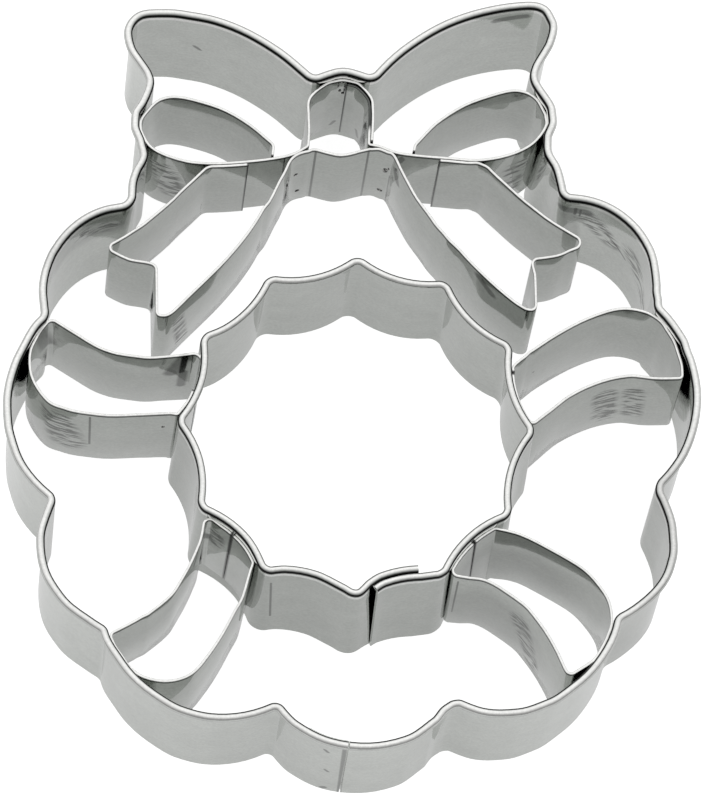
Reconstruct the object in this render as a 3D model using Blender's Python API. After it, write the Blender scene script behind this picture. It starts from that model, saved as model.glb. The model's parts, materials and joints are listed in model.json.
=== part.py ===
"""Wreath cookie cutter with a ribbon bow, bent from stainless steel sheet.

Two full height rings cut the dough. Seven lower strips stand between them and only press their
lines into it. Lengths below are in millimetres, and MM turns them into metres. X runs to the right,
Y towards the bow and Z up to the rolled rims. Plan points are measured from the wreath's centre.
"""

import math

import bmesh
import bpy
from mathutils import Matrix, Vector

MM = 0.001

# Sheet and heights
SHEET = 0.3
HEIGHT = 20.0
BEAD = 1.0
BEAD_CLEARANCE = 0.4
SEAT_GAP = 0.3
STRIP_HEIGHT_LEFT = 15.4
STRIP_HEIGHT_RIGHT = 16.6
STRIP_HEIGHT_BOW = 15.4

# Bends, laps and butt joints
RING_BEND = 1.0
FOLD = 0.6
SOFT_FOLD = 1.6
LAP_GAP = 0.1
OUTER_LAP = 5.0
OUTER_LAP_RAMP = 1.0
INNER_LAP = 5.5
INNER_LAP_RAMP = 3.0
BUTT_GAP = 0.8

# Inner ring: twelve scallops that bulge towards the centre, with creases between them
INNER_RADIUS = 20.1
INNER_SCALLOPS = 12
INNER_RISE = 0.9
INNER_TURN = -2.6
INNER_SEAM = (6.4, -17.8)

# Outer ring: right half of the wreath's creases, with how far each lobe bulges past its chord
BOW_FOOT = (25.0, 27.4)
SIDE_TOP = (35.05, 13.8)
SIDE_LOW = (34.45, -8.0)
HEEL = (29.05, -23.5)
BOTTOM = (10.05, -32.75)
SHOULDER_RISE = 4.3
SIDE_RISE = 4.9
HEEL_RISE = 3.6
CORNER_RISE = 5.2
BOTTOM_RISE = 4.7
OUTER_SEAM = (-2.1, -37.3)

# Outer ring: right half of the bow's outline, from the knot to the foot of the bow
KNOT_TOP = (0.0, 43.2)
KNOT_DIP = (3.45, 42.35)
BOW_EDGE = [
    KNOT_DIP, (7.4, 45.9), (12.7, 49.0), (19.9, 50.95), (23.3, 50.7), (24.75, 48.9), (24.3, 46.3),
    (22.4, 43.3), (22.2, 42.1), (23.9, 38.3), (23.85, 36.9), (23.3, 34.6), (23.6, 32.7),
    (24.7, 29.8), BOW_FOOT,
]

# Ribbon bands, one row between two folds, from the butt joint on the inner ring and back to it. Each
# spot is a bearing in degrees from the right and a share of the way from the inner to the outer ring.
LEFT_UPPER = [
    [(164.6, 0), (175.6, 0)],
    [(176.3, 0.21), (176.5, 0.47), (174.8, 0.73), (170.6, 0.89), (166.8, 0.97), (164.5, 1), (160.1, 1), (158.4, 0.99)],
    [(159.2, 0.82), (160.6, 0.62), (159.5, 0.35), (157.2, 0.2), (152.0, 0)],
    [(164.6, 0)],
]
RIGHT_UPPER = [
    [(20.2, 0), (22.3, 0), (23.4, 0.08), (24.4, 0.32), (24.6, 0.56), (23.3, 0.81), (21.4, 0.96), (20.2, 1),
     (10.9, 1), (7.9, 0.94)],
    [(8.7, 0.81), (10.2, 0.66), (9.2, 0.42), (4.7, 0.18), (-0.6, 0)],
    [(20.2, 0)],
]
LEFT_LOWER = [
    [(-139.4, 0), (-149.9, 0)],
    [(-143.9, 0.17), (-138.9, 0.47), (-138.5, 0.74), (-140.4, 1)],
    [(-133.7, 1), (-130.9, 0.98), (-126.9, 0.91), (-124.2, 0.79), (-123.2, 0.61), (-123.7, 0.3), (-126.8, 0)],
    [(-139.4, 0)],
]
RIGHT_LOWER = [
    [(-46.8, 0), (-37.2, 0)],
    [(-34.7, 0.13), (-34.1, 0.34), (-34.3, 0.55), (-35.3, 0.71), (-37.3, 0.87), (-39.6, 1), (-46.8, 1), (-52.1, 0.96)],
    [(-50.3, 0.77), (-48.4, 0.49), (-49.6, 0.33), (-52.2, 0.19), (-61.0, 0)],
    [(-46.8, 0)],
]

# Bow strips: each loop from the knot's side, where it lies against the outer ring, and the knot's arch
LEFT_FLAP = (-8.6, 33.3)
LEFT_LOOP = [(-8.4, 34.6), (-11.7, 37.4), (-15.8, 39.5), (-19.9, 40.4), (-22.1, 39.5)]
LEFT_LOOP_REST = ((-23.9, 38.0), (-23.8, 36.6))
LEFT_LOOP_BACK = [(-22.3, 34.7), (-18.9, 32.7), (-15.5, 32.3), (-8.5, 32.8), (-6.0, 33.2), (-4.1, 34.3)]
ARCH_LEFT = [(-4.1, 34.3), (-4.2, 36.4), (-4.0, 39.5)]
ARCH_REST = ((-2.2, 42.9), (2.2, 42.9))
ARCH_RIGHT = [(3.8, 39.5), (4.0, 37.5), (4.0, 35.7)]
LINING = ((0.1, 42.3), (4.0, 37.0))
RIGHT_KNOT_FOOT = (3.4, 34.3)
RIGHT_LOOP = [RIGHT_KNOT_FOOT, (6.0, 33.3), (11.7, 32.7), (15.6, 32.4), (19.4, 33.3), (22.0, 34.8)]
RIGHT_LOOP_REST = ((23.8, 36.6), (23.9, 38.0))
RIGHT_LOOP_BACK = [(22.2, 39.8), (20.0, 40.7), (15.3, 39.4), (11.1, 37.0), (8.4, 34.3)]
RIGHT_FLAP = (8.2, 33.5)

# Bow tails, from the seam under the left loop to the seam under the right one
LEFT_SEAM = ((-11.2, 32.6), (-15.8, 32.3))
LEFT_TAIL_SIDE = [(-18.9, 29.4), (-24.9, 24.2), (-28.0, 22.4)]
LEFT_TAIL_END = [(-28.0, 22.4), (-25.5, 21.0), (-22.4, 20.0)]
LEFT_TAIL_TIP = (-22.5, 13.9)
LEFT_TAIL_BACK = [LEFT_TAIL_TIP, (-21.0, 13.9), (-18.6, 16.1), (-13.4, 21.6), (-10.8, 25.1), (-9.0, 28.3), (-7.4, 31.2)]
LEFT_KNOT_SEAM = ((-6.0, 33.2), (-4.8, 33.8))
KNOT_FOOT = [(-3.6, 33.7), (-0.4, 33.0), (2.3, 33.6)]
RIGHT_KNOT_SEAM = ((3.9, 34.1), (5.2, 33.5))
RIGHT_TAIL_BACK = [(6.9, 30.5), (8.9, 26.9), (11.4, 22.6), (14.8, 18.4), (17.6, 15.8), (20.0, 14.1), (21.3, 14.1)]
RIGHT_TAIL_END = [(21.2, 20.1), (24.3, 20.7), (27.1, 22.2)]
RIGHT_TAIL_SIDE = [(27.1, 22.2), (23.9, 24.4), (20.9, 26.6), (17.5, 29.9)]
RIGHT_SEAM = ((15.6, 32.4), (10.9, 32.8))

# How finely a curve is cut into straight steps
FINE_STEP = 0.15
FOLLOW_STEP = 1.2
FOLLOW_TURN = 2.5
MAX_TURN = 12.0
MAX_STEP = 5.0

STRIP_TOP = HEIGHT - BEAD - BEAD_CLEARANCE
WALL_SHIFT = (BEAD - SHEET) / 2
SEAT = SHEET + SEAT_GAP
RING_SEAT = WALL_SHIFT + SEAT


def flat(point):
    return Vector((point[0], point[1]))


def mark_near(line, point):
    """How far along the line its nearest point to the given one lies."""
    marks = lengths_of(line)
    return min(zip(line, marks), key=lambda pair: (pair[0] - flat(point)).length)[1]


def mirrored(points):
    """The points of the right half, turned into the left half and read the other way round."""
    return [(-x, y) for x, y in reversed(points)]


def smooth_run(points):
    """Fine points on a smooth curve through the given points, evenly paced along their chords."""
    knots = [flat(p) for p in points]
    if len(knots) == 2:
        knots.insert(1, (knots[0] + knots[1]) / 2)
    ends = [2 * knots[0] - knots[1]] + knots + [2 * knots[-1] - knots[-2]]
    run = []
    for before, a, b, after in zip(ends, ends[1:], ends[2:], ends[3:]):
        pace = [math.sqrt((q - p).length) for p, q in ((before, a), (a, b), (b, after))]
        into = ((a - before) / pace[0] - (b - before) / (pace[0] + pace[1]) + (b - a) / pace[1]) * pace[1]
        out = ((b - a) / pace[1] - (after - a) / (pace[1] + pace[2]) + (after - b) / pace[2]) * pace[1]
        steps = max(2, math.ceil((b - a).length / FINE_STEP))
        for i in range(steps):
            t = i / steps
            run.append(
                (2 * t**3 - 3 * t**2 + 1) * a + (t**3 - 2 * t**2 + t) * into
                + (-2 * t**3 + 3 * t**2) * b + (t**3 - t**2) * out
            )
    run.append(knots[-1])
    return run


def arc_run(start, end, rise):
    """Fine points on a round arc that bulges by rise to the left of the way from start to end."""
    a, b = flat(start), flat(end)
    half = (b - a) / 2
    left = Vector((-half.y, half.x)).normalized()
    radius = (half.length_squared + rise * rise) / (2 * abs(rise))
    centre = a + half + left * (rise - math.copysign(radius, rise))
    swing = 2 * math.atan2(half.length, radius - abs(rise)) * -math.copysign(1, rise)
    steps = math.ceil(abs(swing) * radius / FINE_STEP)
    return [centre + Matrix.Rotation(swing * i / steps, 2) @ (a - centre) for i in range(steps + 1)]


def lengths_of(run):
    """The distance along the run to each of its points."""
    marks = [0.0]
    for a, b in zip(run, run[1:]):
        marks.append(marks[-1] + (b - a).length)
    return marks


def cut(run, start, end):
    """The stretch of the run between two distances along it."""
    marks = lengths_of(run)

    def at(mark):
        i = next((k for k in range(1, len(marks)) if marks[k] >= mark), len(marks) - 1)
        return run[i - 1].lerp(run[i], (mark - marks[i - 1]) / (marks[i] - marks[i - 1]))

    inner = [p for p, mark in zip(run, marks) if start + FINE_STEP / 4 < mark < end - FINE_STEP / 4]
    return [at(start)] + inner + [at(end)]


def joined(runs, bends, closed=False):
    """The runs end to end, each corner between two of them rounded to its bend radius."""
    runs = list(runs)
    corners = list(range(1, len(runs))) + ([0] if closed else [])
    fillets = {}
    for k, bend in zip(corners, bends):
        before, after = runs[k - 1], runs[k]
        turn = (before[-1] - before[-2]).angle(after[1] - after[0])
        trim = bend * math.tan(turn / 2)
        before = cut(before, 0, lengths_of(before)[-1] - trim)
        after = cut(after, trim, lengths_of(after)[-1])
        into = (before[-1] - before[-2]).normalized()
        away = (after[1] - after[0]).normalized()
        reach = 4 / 3 * math.tan(into.angle(away) / 4) * bend
        a, b, c, d = before[-1], before[-1] + into * reach, after[0] - away * reach, after[0]
        steps = math.ceil(bend * turn / FINE_STEP) + 1
        fillets[k] = [
            (1 - t)**3 * a + 3 * t * (1 - t)**2 * b + 3 * t * t * (1 - t) * c + t**3 * d
            for t in (i / steps for i in range(1, steps))
        ]
        runs[k - 1], runs[k] = before, after
    line = []
    for k, run in enumerate(runs):
        line += fillets.get(k, []) + (run if k in fillets or not line else run[1:])
    return line


def side_of(line, i):
    """The unit vector to the left of the line at its point i."""
    a, b = line[max(i - 1, 0)], line[min(i + 1, len(line) - 1)]
    return Vector((a.y - b.y, b.x - a.x)).normalized()


def beside(line, start, end, shift):
    """Points along the stretch of the line nearest to start and end, shifted to its left."""
    first, last = (min(range(len(line)), key=lambda i: (line[i] - flat(p)).length) for p in (start, end))
    step = 1 if last > first else -1
    stretch = list(range(first, last, step * round(FOLLOW_STEP / FINE_STEP))) + [last]
    return [line[i] + side_of(line, i) * shift for i in stretch]


def lapped(loop, mark, lap, ramp, start_shift, end_shift):
    """A closed loop opened at a distance along it, with its end run past its start by the lap.

    Within the lap each end is shifted to its left, and it eases back onto the loop over the ramp.
    """
    total = lengths_of(loop + loop[:1])[-1]
    line = cut(loop + loop + loop[:1], mark, mark + total + lap)
    marks = lengths_of(line)

    def ease(distance):
        t = min(max(1 - (distance - lap) / ramp, 0.0), 1.0)
        return t * t * (3 - 2 * t)

    return [
        p + side_of(line, i) * (start_shift * ease(marks[i]) + end_shift * ease(marks[-1] - marks[i]))
        for i, p in enumerate(line)
    ]


def thinned(line):
    """Only the points that the shape needs: more where it turns, fewer where it runs straight."""
    kept, turned, run = [line[0]], 0.0, 0.0
    for before, here, after in zip(line, line[1:], line[2:]):
        turned += abs((here - before).angle_signed(after - here))
        run += (here - before).length
        if turned >= math.radians(MAX_TURN) or run >= MAX_STEP:
            kept.append(here)
            turned = run = 0.0
    if (kept[-1] - line[-1]).length < FINE_STEP and len(kept) > 1:
        kept.pop()
    return kept + [line[-1]]


def strip_section(height):
    half, foot = SHEET / 2, STRIP_TOP - height
    return [(-half, foot), (half, foot), (half, STRIP_TOP), (-half, STRIP_TOP)]


def rim_section(side):
    """The full height wall, with its upper edge rolled into a round hem that stands out to one side.

    The hem is centred on the plan line. Its first two points and the ones before and after the hem
    are the wall's four corners, so the wall can run on without it.
    """
    radius = BEAD / 2
    neck = -math.acos((SHEET - radius) / radius)
    angles = [neck, neck / 2] + [math.pi * k / 4 for k in range(5)]
    hem = [(radius * math.cos(a), HEIGHT - radius + radius * math.sin(a)) for a in angles]
    return [(side * u, z) for u, z in [(-radius, 0.0), (SHEET - radius, 0.0)] + hem]


def metal(name, colour, roughness):
    material = bpy.data.materials.new(name)
    material.use_nodes = True
    shader = material.node_tree.nodes["Principled BSDF"]
    shader.inputs["Base Color"].default_value = (*colour, 1.0)
    shader.inputs["Metallic"].default_value = 1.0
    shader.inputs["Roughness"].default_value = roughness
    return material


def swept(name, line, section, material, centre, bare=0.0):
    """One bent sheet: the section carried along the line, with flat cut ends.

    Over the bare length at the line's end only the section's first, second, third and last corners
    go on, which on a rolled ring leaves the hem off.
    """
    hemmed = thinned(cut(line, 0, lengths_of(line)[-1] - bare)) if bare else thinned(line)
    tongue = thinned(cut(line, lengths_of(line)[-1] - bare, lengths_of(line)[-1]))[1:] if bare else []
    path = hemmed + tongue
    wall_corners = [0, 1, 2, len(section) - 1]
    mesh_builder = bmesh.new()
    rings = []
    for i, point in enumerate(path):
        side = side_of(path, i)
        corners = section if i < len(hemmed) else [section[k] for k in wall_corners]
        rings.append([
            mesh_builder.verts.new(((point.x + side.x * u - centre.x) * MM,
                                    (point.y + side.y * u - centre.y) * MM, z * MM))
            for u, z in corners
        ])
    if tongue:
        mesh_builder.faces.new(rings[len(hemmed) - 1][2:])
    for here, after in zip(rings, rings[1:]):
        if len(after) < len(here):
            here = [here[k] for k in wall_corners]
        count = len(here)
        for k in range(count):
            mesh_builder.faces.new((here[k], here[(k + 1) % count], after[(k + 1) % count], after[k]))
    mesh_builder.faces.new(rings[0])
    mesh_builder.faces.new(rings[-1])
    bmesh.ops.recalc_face_normals(mesh_builder, faces=mesh_builder.faces)
    mesh = bpy.data.meshes.new(name)
    mesh_builder.to_mesh(mesh)
    mesh_builder.free()
    mesh.shade_smooth()
    mesh.set_sharp_from_angle(angle=math.radians(30))
    mesh.materials.append(material)
    piece = bpy.data.objects.new(name, mesh)
    bpy.context.scene.collection.objects.link(piece)
    return piece


def outer_loop():
    """The outer ring, clockwise from the top of the knot, so that its inside lies to its right."""
    right = [
        arc_run(BOW_FOOT, SIDE_TOP, SHOULDER_RISE),
        arc_run(SIDE_TOP, SIDE_LOW, SIDE_RISE),
        arc_run(SIDE_LOW, HEEL, HEEL_RISE),
        arc_run(HEEL, BOTTOM, CORNER_RISE),
    ]
    left = [[Vector((-p.x, p.y)) for p in reversed(run)] for run in reversed(right)]
    bottom = arc_run(BOTTOM, mirrored([BOTTOM])[0], BOTTOM_RISE)
    knot = smooth_run([mirrored([KNOT_DIP])[0], KNOT_TOP, KNOT_DIP])
    runs = [knot, smooth_run(BOW_EDGE), *right, bottom, *left, smooth_run(mirrored(BOW_EDGE))]
    return joined(runs, [SOFT_FOLD] + [RING_BEND] * (len(runs) - 2) + [SOFT_FOLD], closed=True)


def inner_loop():
    """The inner ring, clockwise, each scallop bulging to the right, towards the centre."""
    creases = []
    for k in range(INNER_SCALLOPS + 1):
        angle = math.radians(90 + INNER_TURN - 360 / INNER_SCALLOPS * k)
        creases.append((INNER_RADIUS * math.cos(angle), INNER_RADIUS * math.sin(angle)))
    runs = [arc_run(a, b, -INNER_RISE) for a, b in zip(creases, creases[1:])]
    return joined(runs, [RING_BEND] * len(runs), closed=True)


def seated(ring, bearing, shift):
    """The spot beside the ring's line at a bearing from the wreath's centre, shifted to the line's left."""
    heading = Vector((math.cos(math.radians(bearing)), math.sin(math.radians(bearing))))
    i = min(range(len(ring)), key=lambda k: heading.angle(ring[k]))
    return ring[i] + side_of(ring, i) * shift


def band_line(rows, inner, outer):
    """A ribbon band between the rings, which follows a ring between two spots that lie on it."""
    runs = []
    for before, row in zip([[]] + rows, rows):
        spots = before[-1:] + row
        places = spots[:1]
        for (start, near), (end, far) in zip(spots, spots[1:]):
            follows = near == far and near in (0, 1)
            steps = math.ceil(abs(end - start) / FOLLOW_TURN) if follows else 1
            places += [(start + (end - start) * k / steps, far) for k in range(1, steps + 1)]
        runs.append(smooth_run([
            seated(inner, bearing, RING_SEAT).lerp(seated(outer, bearing, -RING_SEAT), share)
            for bearing, share in places
        ]))
    line = joined(runs, [FOLD] * (len(runs) - 1))
    return cut(line, BUTT_GAP / 2, lengths_of(line)[-1] - BUTT_GAP / 2)


def left_bow_line(outer):
    """Left loop of the bow, then up over the knot and down its right side."""
    flap = smooth_run([LEFT_FLAP, LEFT_LOOP[0]])
    loop = smooth_run([*LEFT_LOOP, *beside(outer, *LEFT_LOOP_REST, -RING_SEAT), *LEFT_LOOP_BACK])
    arch = smooth_run([*ARCH_LEFT, *beside(outer, *ARCH_REST, -RING_SEAT), *ARCH_RIGHT])
    return joined([flap, loop, arch], [FOLD, FOLD])


def right_bow_line(outer, left_bow):
    """Starts inside the top of the knot, lines its right side and forms the right loop."""
    leg = smooth_run([*beside(left_bow, *LINING, -SEAT), RIGHT_KNOT_FOOT])
    loop = smooth_run([*RIGHT_LOOP, *beside(outer, *RIGHT_LOOP_REST, -RING_SEAT), *RIGHT_LOOP_BACK])
    flap = smooth_run([RIGHT_LOOP_BACK[-1], RIGHT_FLAP])
    return joined([leg, loop, flap], [FOLD, FOLD])


def bow_tail_line(left_bow, right_bow):
    """Both tails of the bow in one strip, which runs under the loops and across the foot of the knot."""
    left_seam = smooth_run(beside(left_bow, *LEFT_SEAM, -SEAT))
    left_side = smooth_run([left_seam[-1], *LEFT_TAIL_SIDE])
    left_end = smooth_run(LEFT_TAIL_END)
    left_notch = smooth_run([LEFT_TAIL_END[-1], LEFT_TAIL_TIP])
    back = smooth_run([
        *LEFT_TAIL_BACK, *beside(left_bow, *LEFT_KNOT_SEAM, -SEAT), *KNOT_FOOT,
        *beside(right_bow, *RIGHT_KNOT_SEAM, -SEAT), *RIGHT_TAIL_BACK,
    ])
    right_notch = smooth_run([RIGHT_TAIL_BACK[-1], RIGHT_TAIL_END[0]])
    right_end = smooth_run(RIGHT_TAIL_END)
    right_seam = smooth_run(beside(right_bow, *RIGHT_SEAM, -SEAT))
    right_side = smooth_run([*RIGHT_TAIL_SIDE, right_seam[0]])
    runs = [left_seam, left_side, left_end, left_notch, back, right_notch, right_end, right_side, right_seam]
    return joined(runs, [SOFT_FOLD] + [FOLD] * (len(runs) - 3) + [SOFT_FOLD])


def main():
    for old in list(bpy.data.objects):
        bpy.data.objects.remove(old)

    ring_steel = metal("rolled_ring_steel", (0.62, 0.63, 0.61), 0.28)
    strip_steel = metal("embossing_strip_steel", (0.42, 0.43, 0.42), 0.34)

    outer = outer_loop()
    inner = inner_loop()
    left_bow = left_bow_line(outer)
    right_bow = right_bow_line(outer, left_bow)
    outer_open = lapped(outer, mark_near(outer, OUTER_SEAM), OUTER_LAP, OUTER_LAP_RAMP, 0.0, -SEAT)
    bead_step = (BEAD + LAP_GAP) / 2
    inner_open = lapped(inner, mark_near(inner, INNER_SEAM), INNER_LAP, INNER_LAP_RAMP, -bead_step, bead_step)
    xs, ys = [p.x for p in outer_open], [p.y for p in outer_open]
    centre = Vector(((max(xs) + min(xs)) / 2, (max(ys) + min(ys)) / 2))

    swept("outer_ring", outer_open, rim_section(1), ring_steel, centre, OUTER_LAP + LAP_GAP)
    swept("inner_ring", inner_open, rim_section(-1), ring_steel, centre)
    for name, rows, height in (
        ("left_upper_band", LEFT_UPPER, STRIP_HEIGHT_LEFT),
        ("right_upper_band", RIGHT_UPPER, STRIP_HEIGHT_RIGHT),
        ("left_lower_band", LEFT_LOWER, STRIP_HEIGHT_LEFT),
        ("right_lower_band", RIGHT_LOWER, STRIP_HEIGHT_RIGHT),
    ):
        swept(name, band_line(rows, inner, outer), strip_section(height), strip_steel, centre)
    bow_section = strip_section(STRIP_HEIGHT_BOW)
    swept("left_bow_strip", left_bow, bow_section, strip_steel, centre)
    swept("right_bow_strip", right_bow, bow_section, strip_steel, centre)
    swept("bow_tail_strip", bow_tail_line(left_bow, right_bow), bow_section, strip_steel, centre)


main()
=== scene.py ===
"""A wreath and bow cookie cutter of bent stainless steel strip, seen from above on a white table.

Lengths below are in millimetres, and MM turns them into metres. X runs to the right, Y towards the bow
and Z up. Plan points are measured from the wreath's centre.
"""

import json
import math

import bmesh
import bpy
from mathutils import Matrix, Vector

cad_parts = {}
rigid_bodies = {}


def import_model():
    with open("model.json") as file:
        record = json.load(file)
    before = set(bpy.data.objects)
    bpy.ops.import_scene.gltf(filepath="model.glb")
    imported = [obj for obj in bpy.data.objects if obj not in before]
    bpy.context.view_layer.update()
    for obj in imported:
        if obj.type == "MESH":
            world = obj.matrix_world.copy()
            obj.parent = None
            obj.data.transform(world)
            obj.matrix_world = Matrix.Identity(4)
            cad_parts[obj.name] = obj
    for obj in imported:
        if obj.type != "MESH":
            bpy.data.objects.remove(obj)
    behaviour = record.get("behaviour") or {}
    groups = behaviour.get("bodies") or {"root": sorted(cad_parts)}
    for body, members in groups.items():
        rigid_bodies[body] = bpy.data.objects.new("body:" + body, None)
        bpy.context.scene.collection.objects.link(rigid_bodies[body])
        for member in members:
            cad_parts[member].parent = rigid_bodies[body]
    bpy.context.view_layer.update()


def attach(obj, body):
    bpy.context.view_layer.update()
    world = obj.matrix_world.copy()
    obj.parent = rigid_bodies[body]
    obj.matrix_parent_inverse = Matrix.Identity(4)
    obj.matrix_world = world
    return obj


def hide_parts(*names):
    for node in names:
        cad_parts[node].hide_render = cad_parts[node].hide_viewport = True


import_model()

# Outer ring. A stainless strip 20 mm tall, its upper edge curled outwards into a round hem that a hand can
# press on. It is bent round a former into the outline of a wreath with a bow. At the foot of the wreath
# one end has no curl, and it runs on behind the other end and is spot welded to it.

MM = 0.001
SHEET = 0.3
HEIGHT = 20.0
OUTER_BEAD = 1.0
CURL_GAP = 0.03
FOOT_CLEAR = 0.01
SLIP = 0.03
RING_BEND = 1.0
SOFT_FOLD = 1.6
HEM_NOTCH = 0.2
OUTER_LAP = 5.0
OUTER_LAP_RAMP = 1.0
TONGUE_TOP = 18.9
FINE_STEP = 0.15
FOLLOW_STEP = 1.2
SWEEP_TURN = 4.0
SWEEP_STEP = 1.0

BOW_FOOT = (25.0, 27.4)
SIDE_TOP = (35.05, 13.8)
SIDE_LOW = (34.45, -8.0)
HEEL = (29.05, -23.5)
BOTTOM = (10.05, -32.75)
LOBE_RISES = (4.3, 4.9, 3.6, 5.2)
BOTTOM_RISE = 4.7
KNOT_TOP = (0.0, 43.2)
KNOT_DIP = (3.45, 42.35)
BOW_EDGE = [
    KNOT_DIP, (7.4, 45.9), (12.7, 49.0), (19.9, 50.95), (23.3, 50.7), (24.75, 48.9), (24.3, 46.3),
    (22.4, 43.3), (22.2, 42.1), (23.9, 38.3), (23.85, 36.9), (23.3, 34.6), (23.6, 32.7),
    (24.7, 29.8), BOW_FOOT,
]
OUTER_SEAM = (-2.1, -37.3)
# the ring was closed by hand: how far it stands out from its even outline near a plan point
DEPARTURES = [
    (0.0, 43.2, 0.0), (3.3, 42.4, -0.12), (5.5, 44.3, 0.0), (14.7, 49.7, 0.09), (19.9, 51.0, 0.0), (23.5, 50.5, 0.1),
    (24.6, 49.3, -0.15), (24.1, 45.9, -0.17), (22.3, 42.9, 0.0), (22.4, 41.4, -0.1), (24.0, 38.0, 0.08),
    (23.8, 36.4, 0.3), (23.3, 34.6, 0.09), (23.5, 32.8, -0.16), (24.1, 31.2, 0.0), (24.8, 29.5, -0.14),
    (25.0, 27.9, -0.09), (29.9, 26.2, -0.04), (32.7, 24.1, -0.09), (34.7, 21.1, -0.18), (35.5, 17.6, -0.38),
    (35.5, 15.8, -0.34), (35.2, 14.2, 0.04), (38.0, 9.9, -0.15), (38.6, 8.2, -0.38), (39.6, 4.8, -0.45),
    (39.2, -0.6, -0.52), (36.9, -5.4, -0.43), (35.1, -9.5, -0.35), (35.8, -13.0, -0.17), (35.3, -16.6, 0.12),
    (34.6, -18.2, 0.18), (31.1, -22.3, -0.09), (28.8, -24.4, -0.09), (26.4, -29.1, -0.28), (23.7, -31.5, -0.3),
    (20.7, -33.3, -0.02), (17.2, -34.2, 0.25), (13.6, -33.9, 0.37), (10.2, -33.0, 0.18), (8.9, -34.1, -0.12),
    (7.5, -35.1, 0.18), (4.3, -36.7, 0.57), (0.0, -37.4, 0.6), (-4.5, -36.7, 0.63), (-7.6, -35.0, 0.52),
    (-10.4, -33.0, 0.18), (-17.3, -34.1, 0.22), (-20.8, -33.2, 0.15), (-24.0, -31.6, -0.04), (-27.5, -27.5, 0.06),
    (-28.9, -24.2, 0.42), (-31.3, -22.2, 0.18), (-33.8, -19.7, 0.4), (-35.3, -16.4, 0.57), (-35.8, -12.9, 0.5),
    (-35.1, -9.4, 0.2), (-37.9, -3.7, 0.35), (-39.2, -0.4, 0.17), (-39.7, 3.1, 0.0), (-38.7, 8.4, -0.17),
    (-37.8, 10.0, -0.22), (-35.9, 12.9, 0.03), (-35.5, 16.0, -0.26), (-34.6, 21.2, -0.45), (-33.7, 22.8, -0.5),
    (-28.1, 27.0, -0.39), (-26.3, 27.3, -0.42), (-25.0, 28.0, -0.17), (-24.1, 31.3, 0.0), (-23.5, 33.0, -0.22),
    (-23.4, 34.7, 0.22), (-23.9, 36.5, 0.34), (-24.0, 38.1, 0.12), (-23.3, 39.8, -0.1), (-22.3, 43.0, 0.14),
    (-24.2, 46.0, 0.0), (-24.5, 49.4, -0.23), (-21.7, 51.0, -0.32), (-18.2, 50.7, -0.16), (-14.5, 49.7, 0.03),
    (-3.6, 42.5, -0.1),
]
RIGHT_WAIST = (23.4, 35.2)
WAIST_REACH = 5.0
WAIST_LEAN = 0.8


def flat(point):
    return Vector((point[0], point[1]))


def mirrored(points):
    """The points of the right half, turned into the left half and read the other way round."""
    return [(-x, y) for x, y in reversed(points)]


def smooth_run(points):
    """Fine points on a smooth curve through the given points, evenly paced along their chords."""
    knots = [flat(p) for p in points]
    if len(knots) == 2:
        knots.insert(1, (knots[0] + knots[1]) / 2)
    ends = [2 * knots[0] - knots[1]] + knots + [2 * knots[-1] - knots[-2]]
    run = []
    for before, a, b, after in zip(ends, ends[1:], ends[2:], ends[3:]):
        pace = [math.sqrt((q - p).length) for p, q in ((before, a), (a, b), (b, after))]
        into = ((a - before) / pace[0] - (b - before) / (pace[0] + pace[1]) + (b - a) / pace[1]) * pace[1]
        out = ((b - a) / pace[1] - (after - a) / (pace[1] + pace[2]) + (after - b) / pace[2]) * pace[1]
        steps = max(2, math.ceil((b - a).length / FINE_STEP))
        for i in range(steps):
            t = i / steps
            run.append(
                (2 * t**3 - 3 * t**2 + 1) * a + (t**3 - 2 * t**2 + t) * into
                + (-2 * t**3 + 3 * t**2) * b + (t**3 - t**2) * out
            )
    run.append(knots[-1])
    return run


def arc_run(start, end, rise):
    """Fine points on a round arc that bulges by rise to the left of the way from start to end."""
    a, b = flat(start), flat(end)
    half = (b - a) / 2
    left = Vector((-half.y, half.x)).normalized()
    radius = (half.length_squared + rise * rise) / (2 * abs(rise))
    centre = a + half + left * (rise - math.copysign(radius, rise))
    swing = 2 * math.atan2(half.length, radius - abs(rise)) * -math.copysign(1, rise)
    steps = math.ceil(abs(swing) * radius / FINE_STEP)
    return [centre + Matrix.Rotation(swing * i / steps, 2) @ (a - centre) for i in range(steps + 1)]


def lengths_of(run):
    """The distance along the run to each of its points."""
    marks = [0.0]
    for a, b in zip(run, run[1:]):
        marks.append(marks[-1] + (b - a).length)
    return marks


def mark_near(line, point):
    """How far along the line its nearest point to the given one lies."""
    marks = lengths_of(line)
    return min(zip(line, marks), key=lambda pair: (pair[0] - flat(point)).length)[1]


def cut(run, start, end):
    """The stretch of the run between two distances along it."""
    marks = lengths_of(run)

    def at(mark):
        i = next((k for k in range(1, len(marks)) if marks[k] >= mark), len(marks) - 1)
        return run[i - 1].lerp(run[i], (mark - marks[i - 1]) / (marks[i] - marks[i - 1]))

    inner = [p for p, mark in zip(run, marks) if start + FINE_STEP / 4 < mark < end - FINE_STEP / 4]
    return [at(start)] + inner + [at(end)]


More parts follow.
